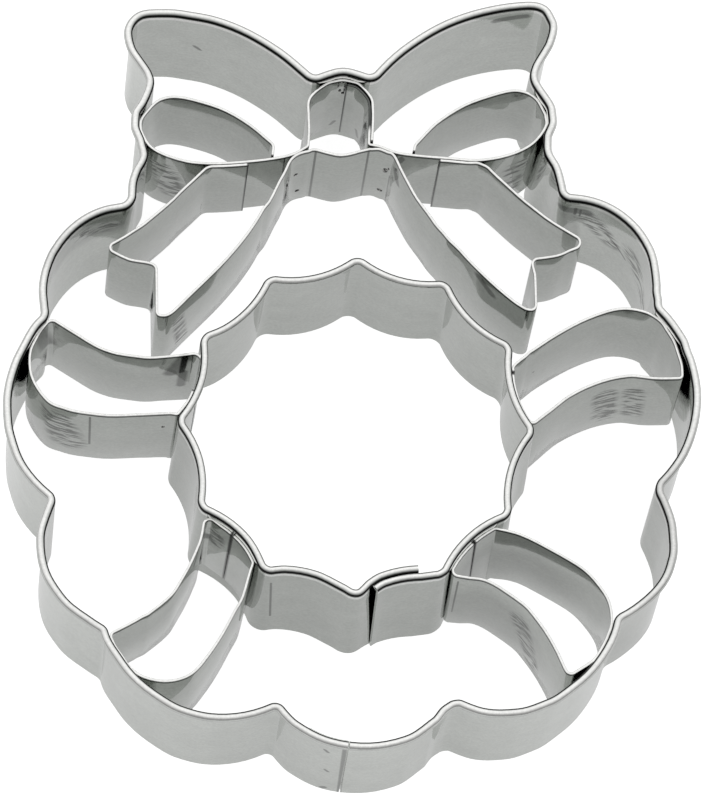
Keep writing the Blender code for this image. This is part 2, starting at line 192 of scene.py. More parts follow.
def joined(runs, bends, closed=False):
    """The runs end to end, each corner between two of them rounded to its bend radius."""
    runs = list(runs)
    corners = list(range(1, len(runs))) + ([0] if closed else [])
    fillets = {}
    for k, bend in zip(corners, bends):
        before, after = runs[k - 1], runs[k]
        turn = (before[-1] - before[-2]).angle(after[1] - after[0])
        trim = bend * math.tan(turn / 2)
        before = cut(before, 0, lengths_of(before)[-1] - trim)
        after = cut(after, trim, lengths_of(after)[-1])
        into = (before[-1] - before[-2]).normalized()
        away = (after[1] - after[0]).normalized()
        reach = 4 / 3 * math.tan(into.angle(away) / 4) * bend
        a, b, c, d = before[-1], before[-1] + into * reach, after[0] - away * reach, after[0]
        steps = math.ceil(bend * turn / FINE_STEP) + 1
        fillets[k] = [
            (1 - t)**3 * a + 3 * t * (1 - t)**2 * b + 3 * t * t * (1 - t) * c + t**3 * d
            for t in (i / steps for i in range(1, steps))
        ]
        runs[k - 1], runs[k] = before, after
    line = []
    for k, run in enumerate(runs):
        line += fillets.get(k, []) + (run if k in fillets or not line else run[1:])
    return line


def side_of(line, i):
    """The unit vector to the left of the line at its point i."""
    a, b = line[max(i - 1, 0)], line[min(i + 1, len(line) - 1)]
    return Vector((a.y - b.y, b.x - a.x)).normalized()


def opened(loop, mark, lap):
    """A closed loop opened at a distance along it, with its end run past its start by the lap."""
    total = lengths_of(loop + loop[:1])[-1]
    return cut(loop + loop + loop[:1], mark, mark + total + lap)


def eased(distance, lap, ramp):
    """1 within the lap, easing to 0 over the ramp beyond it."""
    t = min(max(1 - (distance - lap) / ramp, 0.0), 1.0)
    return t * t * (3 - 2 * t)


def swept_steps(line):
    """The numbers of the points that a smooth sweep needs: close in a bend, further apart between."""
    kept, turned, run = [0], 0.0, 0.0
    for i in range(1, len(line) - 1):
        turned += abs((line[i] - line[i - 1]).angle_signed(line[i + 1] - line[i]))
        run += (line[i] - line[i - 1]).length
        if turned >= math.radians(SWEEP_TURN) or run >= SWEEP_STEP:
            kept.append(i)
            turned = run = 0.0
    if (line[kept[-1]] - line[-1]).length < FINE_STEP and len(kept) > 1:
        kept.pop()
    return kept + [len(line) - 1]


def outer_loop():
    """The outer ring, clockwise from the top of the knot, so that its inside lies to its right."""
    creases = [BOW_FOOT, SIDE_TOP, SIDE_LOW, HEEL, BOTTOM]
    right = [arc_run(a, b, rise) for a, b, rise in zip(creases, creases[1:], LOBE_RISES)]
    left = [[Vector((-p.x, p.y)) for p in reversed(run)] for run in reversed(right)]
    bottom = arc_run(BOTTOM, mirrored([BOTTOM])[0], BOTTOM_RISE)
    knot = smooth_run([mirrored([KNOT_DIP])[0], KNOT_TOP, KNOT_DIP])
    runs = [knot, smooth_run(BOW_EDGE), *right, bottom, *left, smooth_run(mirrored(BOW_EDGE))]
    return joined(runs, [SOFT_FOLD] + [RING_BEND] * (len(runs) - 2) + [SOFT_FOLD], closed=True)


def hand_bent(line, departures, closed=False):
    """The line moved to its left by the given departures, eased from each one to the next."""
    marks = lengths_of(line)
    stops = sorted((mark_near(line, spot[:2]), spot[2]) for spot in departures)
    total = lengths_of(line + line[:1])[-1]
    before, after = (stops[-1][0] - total, stops[-1][1]), (stops[0][0] + total, stops[0][1])
    if not closed:
        before, after = (-1.0, stops[0][1]), (marks[-1] + 1.0, stops[-1][1])
    stops = [before] + stops + [after]
    moved = []
    for i, mark in enumerate(marks):
        (a, out_a), (b, out_b) = next(pair for pair in zip(stops, stops[1:]) if mark < pair[1][0])
        t = (mark - a) / (b - a)
        moved.append(line[i] + side_of(line, i) * (out_a + (out_b - out_a) * t * t * (3 - 2 * t)))
    return moved


def linked(name, data):
    """A new object of the data, put in the scene."""
    piece = bpy.data.objects.new(name, data)
    bpy.context.scene.collection.objects.link(piece)
    return piece


def wire(name, points, closed=False):
    """Points joined by edges, for a path or a section."""
    mesh = bpy.data.meshes.new(name)
    edges = [(i, i + 1) for i in range(len(points) - 1)] + ([(len(points) - 1, 0)] if closed else [])
    mesh.from_pydata([Vector(p) * MM for p in points], edges, [])
    return linked(name, mesh)


def hem_section(bead, side):
    """The ring's section about the curl's centre: a wall, and its upper edge curled over to one side."""
    radius, hollow = bead / 2, bead / 2 - SHEET
    end = -math.acos(-(hollow + CURL_GAP) / radius)
    foot, worn = bead / 2 - HEIGHT + FOOT_CLEAR, 0.08
    curl_steps, hollow_steps, wall_steps = 26, 10, 6
    points = [(worn - radius, foot), (-radius, foot + worn)]
    points += [(-radius, foot * (1 - k / wall_steps)) for k in range(1, wall_steps)]
    for k in range(curl_steps + 1):
        angle = math.pi + (end - math.pi) * k / curl_steps
        points.append((radius * math.cos(angle), radius * math.sin(angle)))
    for k in range(hollow_steps + 1):
        angle = end + (math.pi - end) * k / hollow_steps
        points.append((hollow * math.cos(angle), hollow * math.sin(angle)))
    points += [(-hollow, foot * k / wall_steps) for k in range(1, wall_steps)]
    points += [(-hollow, foot + worn), (-hollow - worn, foot)]
    return wire("hem_section", [(u * side, -w, 0) for u, w in points], closed=True)


def strip_section(thickness, height):
    """A sheared strip hanging from its upper edge, its corners slightly rounded."""
    half, worn, steps = thickness / 2, 0.06, 3
    points = []
    corners = ((half - worn, -worn, 0), (worn - half, -worn, 90),
               (worn - half, worn - height, 180), (half - worn, worn - height, 270))
    for u, w, start in corners:
        for k in range(steps + 1):
            angle = math.radians(start + 90 * k / steps)
            points.append((u + worn * math.cos(angle), w + worn * math.sin(angle)))
    return wire("strip_section", [(u, -w, 0) for u, w in points], closed=True)


def add(tree, kind, settings=None, **inputs):
    """A node of the given kind, its settings made and its inputs set or linked."""
    node = tree.nodes.new(kind)
    for name, value in (settings or {}).items():
        setattr(node, name, value)
    for name, value in inputs.items():
        socket = node.inputs[int(name[1:])] if name[0] == "_" else node.inputs[name.replace("_", " ")]
        if isinstance(value, bpy.types.NodeSocket):
            tree.links.new(value, socket)
        else:
            socket.default_value = value
    return node


def begun_tree(name, inputs, output):
    """A new Geometry Nodes tree with its sockets, and its input node."""
    tree = bpy.data.node_groups.new(name, "GeometryNodeTree")
    for socket, kind in inputs.items():
        tree.interface.new_socket(socket, in_out="INPUT", socket_type="NodeSocket" + kind)
    tree.interface.new_socket(output, in_out="OUTPUT", socket_type="NodeSocketGeometry")
    return tree, add(tree, "NodeGroupInput")


def ended_tree(tree, geometry, steel):
    """The tree, ended: its copies made real and their steel set."""
    real = add(tree, "GeometryNodeRealizeInstances", Geometry=geometry)
    done = add(tree, "GeometryNodeSetMaterial", Geometry=real.outputs[0], Material=steel)
    tree.links.new(done.outputs[0], add(tree, "NodeGroupOutput").inputs[0])
    return tree


def bent_sheet_tree():
    """Carries a section along a path of edges that lies level, tilted by the path's lean."""
    tree, given = begun_tree("bent_sheet", {"Path": "Geometry", "Section": "Object", "Steel": "Material"}, "Sheet")
    path = add(tree, "GeometryNodeMeshToCurve", Mesh=given.outputs["Path"])
    level = add(tree, "GeometryNodeSetCurveNormal", {"mode": "Z_UP"}, Curve=path.outputs[0])
    lean = add(tree, "GeometryNodeInputNamedAttribute", {"data_type": "FLOAT"}, Name="lean")
    tilted = add(tree, "GeometryNodeSetCurveTilt", Curve=level.outputs[0], Tilt=lean.outputs[0])
    spot = add(tree, "GeometryNodeSplineParameter")
    full = add(tree, "GeometryNodeSplineLength")
    rest = add(tree, "ShaderNodeMath", {"operation": "SUBTRACT"}, _0=full.outputs[0], _1=spot.outputs["Length"])
    nearer = add(tree, "ShaderNodeMath", {"operation": "MINIMUM"}, _0=rest.outputs[0], _1=spot.outputs["Length"])
    along = add(tree, "GeometryNodeStoreNamedAttribute", {"data_type": "FLOAT", "domain": "POINT"},
                Geometry=tilted.outputs[0], Name="from_end", Value=nearer.outputs[0])
    shape = add(tree, "GeometryNodeObjectInfo", Object=given.outputs["Section"])
    outline = add(tree, "GeometryNodeMeshToCurve", Mesh=shape.outputs["Geometry"])
    girth = add(tree, "GeometryNodeStoreNamedAttribute", {"data_type": "FLOAT", "domain": "POINT"},
                Geometry=outline.outputs[0], Name="girth", Value=spot.outputs["Length"])
    swept = add(tree, "GeometryNodeCurveToMesh", Curve=along.outputs[0], _1=girth.outputs[0])
    swept.inputs["Fill Caps"].default_value = True
    end_read, girth_read = (
        add(tree, "GeometryNodeInputNamedAttribute", {"data_type": "FLOAT"}, Name=n) for n in ("from_end", "girth")
    )
    place = add(tree, "ShaderNodeCombineXYZ", X=end_read.outputs[0], Y=girth_read.outputs[0])
    mapped = add(tree, "GeometryNodeStoreNamedAttribute", {"data_type": "FLOAT2", "domain": "CORNER"},
                 Geometry=swept.outputs[0], Name="UVMap", Value=place.outputs[0])
    return ended_tree(tree, mapped.outputs[0], given.outputs["Steel"])


BENT_SHEET = bent_sheet_tree()


def made(path, tree, **inputs):
    """The plain mesh that a node tree makes of an object, which is removed."""
    modifier = path.modifiers.new("made", "NODES")
    modifier.node_group = tree
    sockets = {s.name: s.identifier for s in tree.interface.items_tree if s.in_out == "INPUT"}
    for name, value in inputs.items():
        modifier[sockets[name]] = value
    mesh = bpy.data.meshes.new_from_object(path.evaluated_get(bpy.context.evaluated_depsgraph_get()))
    bpy.data.objects.remove(path)
    return mesh


SHARP_FOLD = 40


def placed(name, mesh):
    """A finished piece of the cutter: its loose doubles merged, its faces out, riding on the one body."""
    build = bmesh.new()
    build.from_mesh(mesh)
    bmesh.ops.remove_doubles(build, verts=build.verts, dist=0.000001)
    bmesh.ops.recalc_face_normals(build, faces=build.faces)
    build.to_mesh(mesh)
    build.free()
    mesh.name = name
    mesh.shade_smooth()
    mesh.set_sharp_from_angle(angle=math.radians(SHARP_FOLD))
    piece = linked(name, mesh)
    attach(piece, "root")
    return piece


def sheet(name, line, level, section, leans, steel, sinks=None):
    """One bent strip as a plain mesh: the section carried along the plan line at a level, less its sinking."""
    steps = swept_steps(line)
    marks = lengths_of(line)
    path = wire(name + "_path", [
        (line[i].x - CENTRE.x, line[i].y - CENTRE.y, level - (sinks(marks[i]) if sinks else 0.0)) for i in steps
    ])
    lean = path.data.attributes.new("lean", "FLOAT", "POINT")
    for k, i in enumerate(steps):
        lean.data[k].value = math.atan2(leans(line[i], side_of(line, i), marks[i]), HEIGHT)
    return placed(name, made(path, BENT_SHEET, Section=section, Steel=steel))


def colour(code):
    """An sRGB hex value as linear light."""
    parts = [int(code[k:k + 2], 16) / 255 for k in (1, 3, 5)]
    return (*(p / 12.92 if p <= 0.04045 else ((p + 0.055) / 1.055)**2.4 for p in parts), 1.0)


def banded(tree, reading, first, last, tones):
    """Colours that change with a reading in metres, given as millimetres and hex values."""
    share = add(tree, "ShaderNodeMapRange", Value=reading, _1=first * MM, _2=last * MM)
    ramp = add(tree, "ShaderNodeValToRGB", Fac=share.outputs[0])
    stops = ramp.color_ramp.elements
    while len(stops) < len(tones):
        stops.new(0.5)
    for stop, (place, code) in zip(stops, tones):
        stop.position = (place - first) / (last - first)
        stop.color = colour(code)
    return ramp.outputs[0]


MARK_CORE = 0.55


def stroke(tree, place, start, end, width):
    """1 on a straight mark between two spots, given as plan point and height, fading to 0 at its width."""
    a, b = (Vector((p[0] - CENTRE.x, p[1] - CENTRE.y, p[2])) * MM for p in (start, end))
    heading = (b - a).normalized()
    off = add(tree, "ShaderNodeVectorMath", {"operation": "SUBTRACT"}, _0=place, _1=a)
    run = add(tree, "ShaderNodeVectorMath", {"operation": "DOT_PRODUCT"}, _0=off.outputs[0], _1=heading)
    held = add(tree, "ShaderNodeMath", {"operation": "MINIMUM"}, _0=run.outputs["Value"], _1=(b - a).length)
    held = add(tree, "ShaderNodeMath", {"operation": "MAXIMUM"}, _0=held.outputs[0], _1=0.0)
    nearest = add(tree, "ShaderNodeVectorMath", {"operation": "SCALE"}, _0=heading, Scale=held.outputs[0])
    gap = add(tree, "ShaderNodeVectorMath", {"operation": "DISTANCE"}, _0=off.outputs[0], _1=nearest.outputs[0])
    near = add(tree, "ShaderNodeMapRange", Value=gap.outputs["Value"], _1=MARK_CORE * width * MM, _2=width * MM,
               _3=1.0, _4=0.0)
    return near.outputs[0]


def strokes(tree, place, marks):
    """1 on any of the marks."""
    total = None
    for mark in marks:
        one = stroke(tree, place, *mark)
        total = add(tree, "ShaderNodeMath", {"operation": "MAXIMUM"}, _0=total, _1=one).outputs[0] if total else one
    return total


MARK_DEPTH = 0.42
# the patches of painted shade darken the colour to this share
SHADE_PATCH_DEPTH = 0.76
SCUFF_ROUGH = 0.2


def bare_metal(name):
    """A new material with its tree and its shader, which is set to metal."""
    material = bpy.data.materials.new(name)
    material.use_nodes = True
    shader = material.node_tree.nodes["Principled BSDF"]
    shader.inputs["Metallic"].default_value = 1.0
    return material, material.node_tree, shader


def steel(name, reading, first, last, tones, dull, ends, plain_face, scuffs, scores_and_seam_shadow, stains_and_dark_reflections, shade_patches):
    """Bright rolled stainless strip: a mirror dulled by rolling grain along the strip and by handling, its colour
    banded with painted highlights and painted shade.
    """
    material, tree, shader = bare_metal(name)
    uv = add(tree, "ShaderNodeUVMap", {"uv_map": "UVMap"}).outputs[0]
    place = add(tree, "ShaderNodeTexCoord").outputs["Object"]
    # rolling lines are a few hundredths of a millimetre wide, drawn 0.2 mm wide and 5 mm long to show
    grain_scale = add(tree, "ShaderNodeMapping", Vector=uv, Scale=(200.0, 5000.0, 1.0))
    grain = add(tree, "ShaderNodeTexNoise", Vector=grain_scale.outputs[0], Scale=1.0, Detail=3.0)
    # handling leaves clouds a few millimetres across, and the pickled surface is speckled at 0.3 mm
    cloud = add(tree, "ShaderNodeTexNoise", Vector=place, Scale=260.0, Detail=5.0, Roughness=0.65)
    speckle = add(tree, "ShaderNodeTexNoise", Vector=place, Scale=3000.0, Detail=1.0)
    read = {"girth": (uv, 1), "height": (place, 2)}[reading]
    split = add(tree, "ShaderNodeSeparateXYZ", Vector=read[0])
    # the bands paint highlights and shade into the colour, along the section or up the height
    bands = banded(tree, split.outputs[read[1]], first, last, tones)
    factors = [
        add(tree, "ShaderNodeMapRange", Value=noise.outputs[0], _1=0.3, _2=0.7, _3=darkest, _4=1.0).outputs[0]
        for noise, darkest in ((cloud, 0.9), (grain, 0.93), (speckle, 0.9))
    ]
    # painted shadow: the colour darkens near the sheared end of a strip, standing for the shadow at its cut end
    along = add(tree, "ShaderNodeSeparateXYZ", Vector=uv)
    end_shadow = add(tree, "ShaderNodeMapRange", Value=along.outputs[0], _1=0.1 * MM, _2=0.26 * MM, _3=ends, _4=1.0)
    factors.append(end_shadow.outputs[0])
    # scuffs are short dashes along the strip, about 2 mm long and a few tenths of a millimetre high
    dash_scale = add(tree, "ShaderNodeMapping", Vector=uv, Scale=(420.0, 1700.0, 1.0))
    dash = add(tree, "ShaderNodeTexNoise", Vector=dash_scale.outputs[0], Scale=1.0, Detail=1.0, Distortion=0.4)
    rubbed = add(tree, "ShaderNodeMapRange", Value=dash.outputs[0], _1=0.46, _2=0.55, _3=0.0, _4=1.0)
    # they, the stains and the painted dark reflections lie on one face of the sheet, which ends at plain_face round its
    # section
    on_face = add(tree, "ShaderNodeMath", {"operation": "LESS_THAN"}, _0=along.outputs[1], _1=plain_face * MM)
    scuffed, stain_and_dark_reflection = (
        add(tree, "ShaderNodeMath", {"operation": "MULTIPLY"}, _0=strokes(tree, place, marks), _1=on_face.outputs[0])
        for marks in (scuffs, stains_and_dark_reflections)
    )
    worn = add(tree, "ShaderNodeMath", {"operation": "MULTIPLY"}, _0=rubbed.outputs[0], _1=scuffed.outputs[0])
    # scuffs, score lines with a painted shadow line down the outer ring's seam, stains with painted dark reflections,
    # and soft grey patches of painted shade
    for mask, depth in ((worn.outputs[0], MARK_DEPTH), (strokes(tree, place, scores_and_seam_shadow), MARK_DEPTH),
                        (stain_and_dark_reflection.outputs[0], MARK_DEPTH), (strokes(tree, place, shade_patches), SHADE_PATCH_DEPTH)):
        factors.append(add(tree, "ShaderNodeMapRange", Value=mask, _3=1.0, _4=depth).outputs[0])
    shade = factors[0]
    for factor in factors[1:]:
        shade = add(tree, "ShaderNodeMath", {"operation": "MULTIPLY"}, _0=shade, _1=factor).outputs[0]
    tinted = add(tree, "ShaderNodeVectorMath", {"operation": "SCALE"}, _0=bands, Scale=shade)
    tree.links.new(tinted.outputs[0], shader.inputs["Base Color"])
    rough = add(tree, "ShaderNodeMapRange", Value=cloud.outputs[0], _1=0.3, _2=0.75, _3=dull[0], _4=dull[1])
    rougher = add(tree, "ShaderNodeMath", {"operation": "MULTIPLY_ADD"}, _0=worn.outputs[0], _1=SCUFF_ROUGH,
                  _2=rough.outputs[0])
    tree.links.new(rougher.outputs[0], shader.inputs["Roughness"])
    bump = add(tree, "ShaderNodeBump", Height=grain.outputs[0], Strength=0.08, Distance=0.00002)
    wave = add(tree, "ShaderNodeTexNoise", Vector=place, Scale=110.0, Detail=2.0)
    waved = add(tree, "ShaderNodeBump", Height=wave.outputs[0], Strength=0.2, Distance=0.0002, Normal=bump.outputs[0])
    tree.links.new(waved.outputs[0], shader.inputs["Normal"])
    return material


even = outer_loop()
CENTRE = Vector((
    (max(p.x for p in even) + min(p.x for p in even)) / 2,
    (max(p.y for p in even) + min(p.y for p in even)) / 2,
))
outer = hand_bent(even, DEPARTURES, closed=True)

# The curl starts 19.53 mm round the section from the wall's inner foot. Its colour paints light along the section:
# a painted highlight on the crown, a painted dark line of shade where the curl springs from the wall over a painted
# bright reflection line, and painted grey shade on its flank.
WALL_FACE = 19.5
RING_SCUFFS = [
    ((33.4, 22.2, 12.5), (34.5, 18.6, 8.5), 2.4), ((28.2, 26.3, 15.0), (30.8, 25.0, 11.0), 2.0),
    ((-30.0, 24.9, 16.0), (-27.4, 26.0, 15.0), 1.8),
]
# the first score is a painted shadow line down the gap of the outer ring's seam; the rest are score lines
RING_SCORES_AND_SEAM_SHADOW = [
    ((-2.5, -37.65, 17.8), (-2.2, -37.7, 0.0), 0.34), ((-10.13, -17.58, 16.5), (-9.7, -17.91, 5.1), 0.17),
    ((30.5, 25.2, 12.3), (31.2, 24.8, 11.7), 0.2), ((31.2, 24.8, 11.7), (32.7, 23.2, 9.6), 0.2),
    ((29.3, 25.8, 12.6), (30.9, 24.9, 10.4), 0.12), ((26.5, 26.72, 17.6), (26.5, 26.72, 15.7), 0.24),
    ((27.1, 26.68, 17.2), (27.1, 26.68, 15.3), 0.18), ((-16.7, 49.55, 11.4), (-15.8, 49.75, 10.4), 0.32),
    ((-4.6, -37.07, 15.3), (-4.25, -37.2, 14.7), 0.3), ((-4.2, -37.22, 7.8), (-3.85, -37.3, 7.3), 0.26),
    ((-4.2, -37.2, 0.6), (-3.9, -37.3, 1.0), 0.4),
]
RING_STAINS = [
    ((18.3, 50.35, 17.0), (21.6, 50.45, 17.4), 0.85), ((25.0, 26.9, 16.8), (27.8, 26.6, 16.8), 1.1),
]
# soft grey patches of painted shade on the ring walls
RING_SHADE_PATCHES = [
    ((35.6, -10.0, 11.0), (35.2, -17.0, 9.0), 14.0), ((-34.5, 21.4, 17.0), (-27.0, 26.2, 16.0), 4.2),
    ((26.0, 26.8, 15.0), (26.6, 26.7, 9.0), 1.2),
]
OUTER_STEEL = steel("bright_rolled_stainless_steel", "girth", 18.2, 24.0, [
    (18.2, "#DCDFDB"), (18.5, "#DCDFDB"), (18.7, "#FFFFFD"), (19.25, "#FFFFFD"), (19.4, "#303230"), (19.86, "#303230"),
    (20.0, "#E4E6E3"), (20.3, "#F6F6F4"), (20.66, "#F6F6F4"), (20.8, "#D4D6D3"), (21.1, "#C8CAC7"), (23.5, "#C8CAC7"),
    (23.8, "#D6D9D5"),
], (0.04, 0.09), 1.0, WALL_FACE, RING_SCUFFS, RING_SCORES_AND_SEAM_SHADOW, RING_STAINS, RING_SHADE_PATCHES)
# the inner ring's copy of the steel is painted darker on its wall, a shaded copy of the same steel standing for painted
# shade
INNER_STEEL = steel("bright_rolled_stainless_steel_inner", "girth", 18.2, 24.0, [
    (18.2, "#C4C7C3"), (18.6, "#C4C7C3"), (18.8, "#F4F6F3"), (19.3, "#F4F6F3"), (19.44, "#303230"), (19.86, "#303230"),
    (19.98, "#E4E6E3"), (20.26, "#F6F6F4"), (20.6, "#F6F6F4"), (20.75, "#D4D6D3"), (21.05, "#C8CAC7"),
    (23.2, "#C8CAC7"), (23.5, "#CED1CD"),
], (0.04, 0.09), 1.0, WALL_FACE, RING_SCUFFS, RING_SCORES_AND_SEAM_SHADOW, RING_STAINS, RING_SHADE_PATCHES)


def outer_leans(point, side, mark):
    """The wall stands upright, and only the bow's right waist has been pushed in at its foot."""
    reach = (point - flat(RIGHT_WAIST)).length / WAIST_REACH
    return -WAIST_LEAN * math.exp(-reach * reach)


seam = mark_near(outer, OUTER_SEAM)
round_length = lengths_of(outer + outer[:1])[-1]
outer_ring = sheet("outer_ring_strip", opened(outer, seam, -HEM_NOTCH), HEIGHT - OUTER_BEAD / 2,
                   hem_section(OUTER_BEAD, -1), outer_leans, OUTER_STEEL)
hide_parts("outer_ring")

outer_wall_shift = (OUTER_BEAD - SHEET) / 2
behind = cut(opened(outer, seam, OUTER_LAP), round_length - 2 * OUTER_LAP_RAMP, round_length + OUTER_LAP)
behind_marks = lengths_of(behind)
setbacks = [
    outer_wall_shift + (SHEET + SLIP) * eased(behind_marks[-1] - mark, OUTER_LAP, OUTER_LAP_RAMP)
    for mark in behind_marks
]
tongue_line = [p - side_of(behind, i) * setbacks[i] for i, p in enumerate(behind)]
tongue = sheet("outer_ring_lap_tongue", tongue_line, TONGUE_TOP, strip_section(SHEET - 2 * SLIP, TONGUE_TOP - SLIP),
               outer_leans, OUTER_STEEL)
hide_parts("outer_ring")

# Inner ring. The same rolled strip with its curl on the hole's side, bent into twelve shallow scallops
# that bulge towards the centre. Its ends lap and are spot welded at lower right.

INNER_BEAD = 0.9
INNER_RADIUS = 20.2
INNER_SCALLOPS = 12
INNER_RISE = 1.15
INNER_TURN = -2.6
INNER_SEAM = (6.4, -17.8)
INNER_LAP = 5.5
INNER_LAP_RAMP = 3.0
BEAD_PITCH = 0.93
INNER_FLARE = 0.35
INNER_SHIFT = (0.0, -0.3)
LAP_FLARE = 0.6


def inner_loop():
    """The inner ring, clockwise, each scallop bulging to the right, towards the centre."""
    creases = []
    for k in range(INNER_SCALLOPS + 1):
        angle = math.radians(90 + INNER_TURN - 360 / INNER_SCALLOPS * k)
        creases.append((INNER_RADIUS * math.cos(angle), INNER_RADIUS * math.sin(angle)))
    runs = [arc_run(a, b, -INNER_RISE) for a, b in zip(creases, creases[1:])]
    return joined(runs, [RING_BEND] * len(runs), closed=True)


def inner_leans(point, side, mark):
    """The foot stands out a little all round, and more where the start of the strip lies inside its end."""
    return INNER_FLARE + side.dot(flat(INNER_SHIFT)) + LAP_FLARE * eased(mark, INNER_LAP, INNER_LAP_RAMP)


# how far the inner ring stands out from its even line near a plan point
INNER_DEPARTURES = [
    (18.6, 0.0, 0.0), (10.0, -16.5, 0.0), (2.6, -18.5, 0.0), (0.1, -19.5, 0.33), (-1.2, -19.3, 0.0), (-2.9, -18.7, 0.1),
    (-5.5, -18.2, 0.0), (-8.5, -17.0, 0.0), (-11.0, -16.5, 0.16), (-13.5, -13.5, 0.0), (-17.7, -9.0, 0.1),
    (-18.6, -3.0, 0.0),
    (-18.5, 6.0, 0.0), (-16.8, 10.7, 0.09), (-14.5, 12.5, 0.0), (0.0, 18.6, 0.0),
]
inner = hand_bent(inner_loop(), INNER_DEPARTURES, closed=True)
plain_lap = opened(inner, mark_near(inner, INNER_SEAM), INNER_LAP)
lap_marks = lengths_of(plain_lap)
inner_open = [
    p + side_of(plain_lap, i) * BEAD_PITCH / 2 * (
        eased(lap_marks[-1] - lap_marks[i], INNER_LAP, INNER_LAP_RAMP) - eased(lap_marks[i], INNER_LAP, INNER_LAP_RAMP))
    for i, p in enumerate(plain_lap)
]
inner_ring = sheet("inner_ring_strip", inner_open, HEIGHT - INNER_BEAD / 2, hem_section(INNER_BEAD, 1), inner_leans,
                   INNER_STEEL)
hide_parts("inner_ring")

# Ribbon bands. Four low strips, each bent into a closed band with its ends butted against the inner ring
# and spot welded to both rings. They stand clear of the table, so they only press a line in the dough.

STRIP_TOP = 18.6
STRIP_HEIGHT_LEFT = 15.4
STRIP_HEIGHT_RIGHT = 16.6
FOLD = 0.6
BUTT_GAP = 0.15
FOLLOW_TURN = 2.5
OUTER_SEAT = (OUTER_BEAD - SHEET) / 2 + SHEET + SLIP
INNER_SEAT = (INNER_BEAD - SHEET) / 2 + SHEET + SLIP
LEAN_NEAR = 1.0
LEAN_FAR = 4.0

# one row between two folds: bearings in degrees from the right, and shares of the way between the rings
LEFT_UPPER = [
    [(164.6, 0), (175.6, 0)],
    [(176.3, 0.21), (176.5, 0.47), (174.8, 0.73), (170.6, 0.89), (166.8, 0.97), (164.5, 1), (160.1, 1), (158.4, 0.99)],
    [(159.2, 0.82), (160.6, 0.62), (159.5, 0.35), (157.2, 0.2), (152.0, 0)],
    [(164.6, 0)],
]
RIGHT_UPPER = [
    [(20.2, 0), (22.3, 0), (23.4, 0.08), (24.4, 0.32), (24.6, 0.56), (23.3, 0.81), (21.6, 0.94), (19.4, 1),
     (10.9, 1), (7.9, 0.98)],
    [(8.7, 0.81), (10.2, 0.66), (9.2, 0.42), (4.7, 0.18), (-0.6, 0)],
    [(20.2, 0)],
]
LEFT_LOWER = [
    [(-139.4, 0), (-149.9, 0)],
    [(-143.9, 0.17), (-138.9, 0.47), (-138.5, 0.74), (-140.4, 1)],
    [(-133.7, 1), (-130.9, 0.98), (-126.9, 0.91), (-124.2, 0.79), (-123.2, 0.61), (-123.7, 0.3), (-126.8, 0)],
    [(-139.4, 0)],
]
RIGHT_LOWER = [
    [(-46.8, 0), (-37.2, 0)],
    [(-34.7, 0.13), (-34.1, 0.34), (-34.3, 0.55), (-35.3, 0.71), (-37.3, 0.87), (-39.6, 1), (-46.8, 1), (-52.1, 0.96)],
    [(-50.3, 0.77), (-48.4, 0.49), (-49.6, 0.33), (-52.2, 0.19), (-61.0, 0)],
    [(-46.8, 0)],
]


def seated(ring, bearing, shift):
    """The spot beside the ring's line at a bearing from the wreath's centre, shifted to its left."""
    heading = Vector((math.cos(math.radians(bearing)), math.sin(math.radians(bearing))))
    i = min(range(len(ring)), key=lambda k: heading.angle(ring[k]))
    return ring[i] + side_of(ring, i) * shift


def band_line(rows):
    """A ribbon band between the rings, which follows a ring between two spots that lie on it."""
    runs = []
    for before, row in zip([[]] + rows, rows):
        spots = before[-1:] + row
        places = spots[:1]
        for (start, near), (end, far) in zip(spots, spots[1:]):
            follows = near == far and near in (0, 1)
            steps = math.ceil(abs(end - start) / FOLLOW_TURN) if follows else 1
            places += [(start + (end - start) * k / steps, far) for k in range(1, steps + 1)]
        runs.append(smooth_run([
            seated(inner, bearing, INNER_SEAT).lerp(seated(outer, bearing, -OUTER_SEAT), share)
            for bearing, share in places
        ]))
    line = joined(runs, [FOLD] * (len(runs) - 1))
    return cut(line, BUTT_GAP / 2, lengths_of(line)[-1] - BUTT_GAP / 2)


def band_leans(point, side, mark):
    """Leans a strip with the inner ring where it lies against it, and stands it upright elsewhere."""
    nearest = min(range(0, len(inner), 3), key=lambda i: (inner[i] - point).length)
    reach = (inner[nearest] - point).length
    share = min(max((LEAN_FAR - reach) / (LEAN_FAR - LEAN_NEAR), 0.0), 1.0)
    return share * side.dot(INNER_FLARE * side_of(inner, nearest) + flat(INNER_SHIFT))


